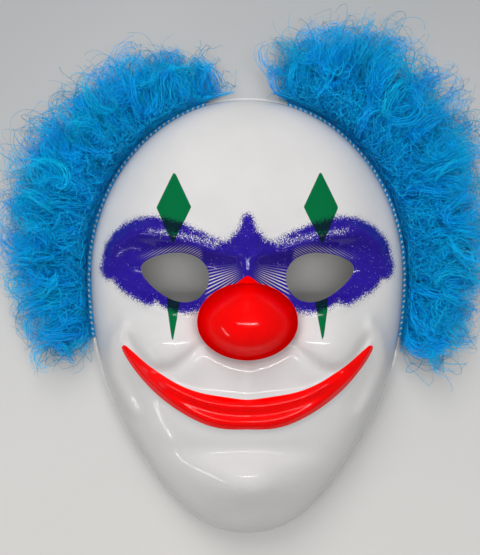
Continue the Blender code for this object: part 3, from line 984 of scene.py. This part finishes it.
def curl_paths(side, fibres):
    """Paths of curly fibres from the seam outwards, in the frame of the CAD."""
    t = np.linspace(0, 1, FIBRE_POINTS)[None, :]
    share = np.clip(fibres["share"], 0, 1)
    layer = np.clip(fibres["layer"], 0, 1)
    root = seam(side, share, ROOT_OUTSET - 0.0005 * layer)
    fan = FAN_START + share * (FAN_END - FAN_START) + fibres["turn"]
    outwards = np.stack([side * np.cos(fan), np.sin(fan)], axis=-1)
    sideways = np.stack([-outwards[:, 1], outwards[:, 0]], axis=-1)
    full = reach_at(side, share)
    reach = full * fibres["length"] * (1 - 0.22 * layer**2)
    rise = np.minimum(1, full / FULL_ARCH_REACH)

    # Outwards from the seam in an arch, with a slow sway to the sides.
    slow = 1 - (1 - t) ** 1.7
    go = reach[:, None] * (0.45 * t + 0.55 * slow)
    sway_angle = 2 * np.pi * (0.9 * t + fibres["sway_phase"][:, None])
    sway = fibres["sway"][:, None] * t * np.sin(sway_angle)
    high = (LOW_ARCH + HIGH_ARCH * layer) * rise
    lift = high[:, None] * np.sin(np.pi * 0.60 * t) ** 0.8
    paths = np.empty((len(share), FIBRE_POINTS, 3))
    for axis in (0, 1):
        paths[:, :, axis] = root[:, None, axis] + outwards[:, None, axis] * go
        paths[:, :, axis] += sideways[:, None, axis] * sway
    paths[:, :, 1] += FACE_Y
    paths[:, :, 2] = ROOT_HEIGHT + LAYER_HEIGHT * layer[:, None] + lift

    # Curls: a turning offset in a plane that the fibres of one lock share.
    first = fibres["axis"] / np.linalg.norm(fibres["axis"], axis=1, keepdims=True)
    heading = np.column_stack([outwards, np.full(len(share), 0.3)])
    second = np.cross(first, heading)
    second /= np.linalg.norm(second, axis=1, keepdims=True)
    first = np.cross(second, first) * 0.6 + heading * 0.4
    turns = reach / fibres["pitch"]
    angle = 2 * np.pi * turns[:, None] * t**0.9 * fibres["hand"][:, None]
    angle = angle + fibres["phase"][:, None]
    grow = smooth(0.0, 0.22, t) * (0.75 + 0.45 * t)
    radius = fibres["curl"][:, None] * grow
    paths += first[:, None] * (radius * (np.cos(angle) - np.cos(angle[:, :1])))[:, :, None]
    paths += second[:, None] * (radius * (np.sin(angle) - np.sin(angle[:, :1])))[:, :, None]

    # Frizz: small quick bends of each fibre's own.
    for axis in range(3):
        for order, size in enumerate(FRIZZ):
            phase = fibres["frizz_phase"][:, axis * 2 + order, None]
            quick = (5.0 + 6.0 * order) * (0.8 + 0.4 * np.sin(phase * 3))
            bend = np.sin(2 * np.pi * quick * t + phase)
            paths[:, :, axis] += size * smooth(0.0, 0.2, t) * bend
    return paths


def keep_clear(paths):
    """Moves fibre points off the table, out of the shell, and back towards the part's
    own box."""
    x, y = paths[..., 0], paths[..., 1] - FACE_Y
    share = rim_share(x, y)
    wanted = 1.0 + HAIR_CLEARANCE / HALF_WIDTH
    push = np.where(share < wanted, wanted / np.maximum(share, 1e-6), 1.0)
    paths[..., 0] = x * push
    paths[..., 1] = WIDEST_Y + (y - WIDEST_Y) * push + FACE_Y
    for axis, (free, more) in enumerate(PAST_BOX):
        for sign, limit in ((1, cad_high[axis] + free), (-1, free - cad_low[axis])):
            over = np.maximum(sign * paths[..., axis] - limit, 0)
            paths[..., axis] -= sign * (over - more * (1 - np.exp(-over / more)))
    z = paths[..., 2]
    eased = TABLE_GAP + TABLE_EASE * np.exp((z - TABLE_GAP - TABLE_EASE) / (2 * TABLE_EASE))
    paths[..., 2] = np.where(z < TABLE_GAP + TABLE_EASE, eased, z)
    return paths


def hair_material():
    """Curly synthetic fibre: deep blue at the root, azure at the tip, with shade painted as a
    darker teal on stray fibres.
    """
    nodes = Nodes("curly_blue_fibre")
    tone = nodes.value("tone")
    along = nodes.value("along")
    deep = nodes.mix(tone, *ROOT_BLUES)
    bright = nodes.mix(tone, *TIP_BLUES)
    colour = nodes.mix(nodes.between(along, -0.15, 0.75), deep, bright)
    streak = nodes.between(nodes.noise(nodes.place(), 0.014, 2.0), 0.38, 0.68)
    colour = nodes.mix(streak, colour, nodes.mix(tone, bright, deep))
    # Painted shade: stray fibres are darkened towards teal.
    nodes.set("Base Color", nodes.mix(nodes.value("stray_shade"), colour, STRAY_SHADE_TEAL))
    nodes.set("Roughness", nodes.between(tone, 0.0, 1.0, 0.46, 0.32))
    nodes.set("Specular IOR Level", 0.35)
    return nodes.material


def make_hair(side, material):
    """The curls of one side in several pieces."""
    rng = np.random.default_rng(SEED + side)
    name, body = ("right", "right_hair") if side > 0 else ("left", "left_hair")
    kinds = [fibre_settings(rng, **kind) for kind in HAIR_KINDS]
    fibres = {key: np.concatenate([kind[key] for kind in kinds]) for key in kinds[0]}
    paths = keep_clear(curl_paths(side, fibres))
    order = np.argsort(fibres["share"])
    t = np.linspace(0, 1, FIBRE_POINTS)
    thickness = FIBRE_RADIUS * (1.0 - TIP_THINNING * t**3)
    points_each = FIBRE_POINTS * FIBRE_SIDES
    for number, part in enumerate(np.array_split(order, PIECES_PER_SIDE)):
        radii = np.tile(thickness, (len(part), 1)) * rng.uniform(0.85, 1.2, (len(part), 1))
        mesh, corners = tube_mesh(f"{name}_curls_{number + 1}", paths[part], radii, FIBRE_SIDES)
        set_float(mesh, "tone", np.repeat(np.clip(fibres["tone"][part], 0, 1), points_each))
        set_float(mesh, "along", np.tile(np.repeat(t, FIBRE_SIDES), len(part)))
        set_float(mesh, "stray_shade", np.repeat(fibres["stray_shade"][part], points_each))
        unwrap_tubes(mesh, corners, len(part), FIBRE_POINTS, FIBRE_SIDES)
        mesh.materials.append(material)
        curls = link(mesh.name, mesh)
        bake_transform(curls)
    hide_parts(f"{name}_back_weft", f"{name}_front_weft")


# ---- Stitches, tape, strap, rivets ----

STITCH_POINTS = 9
STITCH_HALF = 0.15  # as a share of the pitch
STITCH_RADIUS = 0.00062
STITCH_THINNING = 0.25
STITCH_LEAN = 0.00035
STITCH_BOW = 0.00055
STITCH_SINK = 0.00012
STITCH_SIDES = 8
SEAM_SAMPLES = 400
THREAD_BLUES = ((0.60, 0.90, 0.96), (0.86, 0.98, 1.0))
TAPE_BLUES = ((0.0, 0.32, 0.80), (0.0, 0.42, 0.90))
ELASTIC_WHITES = ((0.58, 0.58, 0.56), (0.83, 0.83, 0.80))
NICKELS = ((0.56, 0.55, 0.52), (0.72, 0.71, 0.68))


def thread_material():
    nodes = Nodes("pale_blue_thread")
    place = nodes.place()
    ply = nodes.add("ShaderNodeTexWave", Vector=place, Scale=700.0, Distortion=1.0)
    nodes.set("Base Color", nodes.mix(ply.outputs["Fac"], *THREAD_BLUES))
    nodes.set("Roughness", 0.55)
    nodes.set("Sheen Weight", 0.2)
    nodes.set("Normal", nodes.bump(ply.outputs["Fac"], 0.0001))
    return nodes.material


def make_stitches(side, material):
    """A row of short stitches over the tape, each down into it at both ends."""
    name = "right" if side > 0 else "left"
    shares = np.linspace(0, 1, SEAM_SAMPLES)
    trail = seam(side, shares, STITCH_OUTSET)
    steps = np.linalg.norm(np.diff(trail, axis=0), axis=1)
    length = steps.sum()
    count = round(length / STITCH_PITCH)
    travelled = np.concatenate([[0], np.cumsum(steps)]) / length
    rng = np.random.default_rng(SEED + 5 * side)
    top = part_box(f"{name}_hair_tape")[1].z
    along = np.linspace(-1, 1, STITCH_POINTS)
    bow = STITCH_BOW * np.sqrt(np.clip(1 - along**2, 0, 1)) - STITCH_SINK
    half = STITCH_HALF / count
    paths = []
    for number in range(count):
        middle = (number + 0.5) / count + rng.normal(0, 0.0006)
        places = np.interp(middle + half * along, travelled, shares)
        lean = np.linspace(-STITCH_LEAN, STITCH_LEAN, STITCH_POINTS) + rng.normal(0, 0.00012)
        flat = seam(side, places, STITCH_OUTSET + lean)
        paths.append(np.column_stack([flat[:, 0], flat[:, 1] + FACE_Y, top + bow]))
    swell = np.tile(STITCH_RADIUS * (1 - STITCH_THINNING * along**2), (count, 1))
    mesh, _ = tube_mesh(f"{name}_stitches", np.array(paths), swell, STITCH_SIDES)
    mesh.materials.append(material)
    stitches = link(mesh.name, mesh)
    return move_with(stitches, "shell", f"{name}_sewing_thread", slot="thread")


def woven_material(name, low, high, rib, roughness):
    """A plain weave: two crossed ribs, with a slight change of colour."""
    nodes = Nodes(name)
    place = nodes.place()
    split = nodes.add("ShaderNodeSeparateXYZ", Vector=place)
    ribs = []
    for first, second in (("X", "Y"), ("Y", "Z")):
        sum_of = nodes.math("ADD", split.outputs[first], split.outputs[second])
        ribs.append(nodes.math("SINE", nodes.math("MULTIPLY", sum_of, 2 * math.pi / rib)))
    weave = nodes.math("MULTIPLY", ribs[0], ribs[1])
    worn = nodes.noise(place, 0.006, 3.0)
    shade = nodes.between(nodes.math("ADD", weave, worn), -0.6, 1.6)
    nodes.set("Base Color", nodes.mix(shade, low, high))
    nodes.set("Roughness", roughness)
    nodes.set("Sheen Weight", 0.3)
    nodes.set("Normal", nodes.bump(weave, 0.00012))
    return nodes.material


def nickel_material():
    nodes = Nodes("plated_nickel")
    place = nodes.place()
    stretched = nodes.add("ShaderNodeVectorMath")
    stretched.operation = "MULTIPLY"
    nodes.put(stretched, 0, place)
    nodes.put(stretched, 1, (1.0, 8.0, 1.0))
    brushed = nodes.noise(stretched.outputs[0], 0.0012, 3.0)
    nodes.set("Base Color", nodes.mix(brushed, *NICKELS))
    nodes.set("Metallic", 1.0)
    nodes.set("Roughness", nodes.between(brushed, 0.2, 0.8, 0.20, 0.38))
    nodes.set("Normal", nodes.bump(brushed, 0.00002))
    return nodes.material


def finish_node(name, material):
    """Gives a CAD node that stays visible its material."""
    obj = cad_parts[name]
    obj.data.materials.clear()
    obj.data.materials.append(material)
    obj.data.set_sharp_from_angle(angle=math.radians(35))


def finish_cad_nodes():
    tape = woven_material("woven_blue_tape", *TAPE_BLUES, rib=0.0011, roughness=0.75)
    elastic = woven_material("woven_elastic", *ELASTIC_WHITES, rib=0.0014, roughness=0.82)
    nickel = nickel_material()
    finish_node("elastic_strap", elastic)
    for side in ("left", "right"):
        finish_node(f"{side}_hair_tape", tape)
        finish_node(f"{side}_strap_rivet", nickel)
        finish_node(f"{side}_rivet_washer", nickel)


# ---- Table, lights, camera ----

CAMERA_HEIGHT = 0.55
VIEW_HEIGHT = 0.3300  # the camera's sensor spans the picture's longer side
VIEW_CENTRE = (-0.0040, 0.0030)
TABLE_SIDE = 4.0
TABLE_PALE = (0.61, 0.602, 0.585)
# The colour of the shade painted on the table beyond the mask's crown, and how blotchy that
# shade is.
TABLE_PAINTED_SHADE = (0.31, 0.325, 0.335)
SHADE_BLOTCHINESS = 0.25
WORLD_COLOUR = (0.90, 0.96, 1.0, 1.0)
WORLD_STRENGTH = 0.12

# Name, place, size, power, colour, and whether it shows as a reflection in gloss. The two
# tubes give the streaks of light on the sheet. The key and the fill only light it.
LIGHTS = (
    ("tube", (0.0, -0.10, 1.25), (1.1, 0.024), 4.2, (1.0, 0.99, 0.97), True),
    ("side_tube", (-0.95, -0.60, 0.55), (0.60, 0.020), 0.8, (1.0, 0.99, 0.97), True),
    ("key", (-0.18, 0.78, 1.08), (0.7, 0.7), 9.6, (1.0, 0.985, 0.97), False),
    ("fill", (0.05, 0.03, 1.60), (1.1, 1.1), 12.4, (1.0, 0.985, 0.98), False),
)


def make_table():
    """A pale table with shade painted on it, darker beyond the mask's crown and in soft
    blotches, with a faint grain.
    """
    bpy.ops.mesh.primitive_plane_add(size=TABLE_SIDE)
    table = bpy.context.object
    table.name = "table_top"
    nodes = Nodes("pale_table")
    place = nodes.place()
    depth = nodes.add("ShaderNodeSeparateXYZ", Vector=place).outputs["Y"]
    # Painted shade: the table darkens beyond the mask's crown, in soft blotches.
    shade_blotches = nodes.math("MULTIPLY", nodes.noise(place, 0.35, 2.0), SHADE_BLOTCHINESS)
    away = nodes.between(nodes.math("ADD", depth, shade_blotches), -0.10, 0.42)
    nodes.set("Base Color", nodes.mix(away, TABLE_PALE, TABLE_PAINTED_SHADE))
    nodes.set("Roughness", 0.55)
    nodes.set("Normal", nodes.bump(nodes.noise(place, 0.0015, 2.0), 0.00004))
    table.data.materials.append(nodes.material)


def area_light(name, place, size, power, colour, seen_in_gloss):
    light = bpy.data.lights.new(name, "AREA")
    light.shape = "RECTANGLE"
    light.size, light.size_y = size
    light.energy = power
    light.color = colour
    lamp = link(name, light)
    lamp.location = place
    lamp.rotation_mode = "QUATERNION"
    lamp.rotation_quaternion = Vector(place).to_track_quat("Z", "Y")
    lamp.visible_glossy = seen_in_gloss


def make_lights():
    for light in LIGHTS:
        area_light(*light)
    world = bpy.data.worlds.new("studio")
    bpy.context.scene.world = world
    world.use_nodes = True
    background = world.node_tree.nodes["Background"]
    background.inputs["Color"].default_value = WORLD_COLOUR
    background.inputs["Strength"].default_value = WORLD_STRENGTH


def make_camera():
    data = bpy.data.cameras.new("camera")
    data.lens = data.sensor_width / 2 / (VIEW_HEIGHT / 2 / CAMERA_HEIGHT)
    camera = link("camera", data)
    camera.location = (*VIEW_CENTRE, CAMERA_HEIGHT)
    data.clip_start = 0.01
    data.clip_end = 20.0
    bpy.context.scene.camera = camera
    bpy.context.scene.view_settings.view_transform = "Standard"


make_camera()
make_lights()
make_table()
make_shell()
blue = hair_material()
pale = thread_material()
for which in (-1, 1):
    make_hair(which, blue)
    make_stitches(which, pale)
finish_cad_nodes()
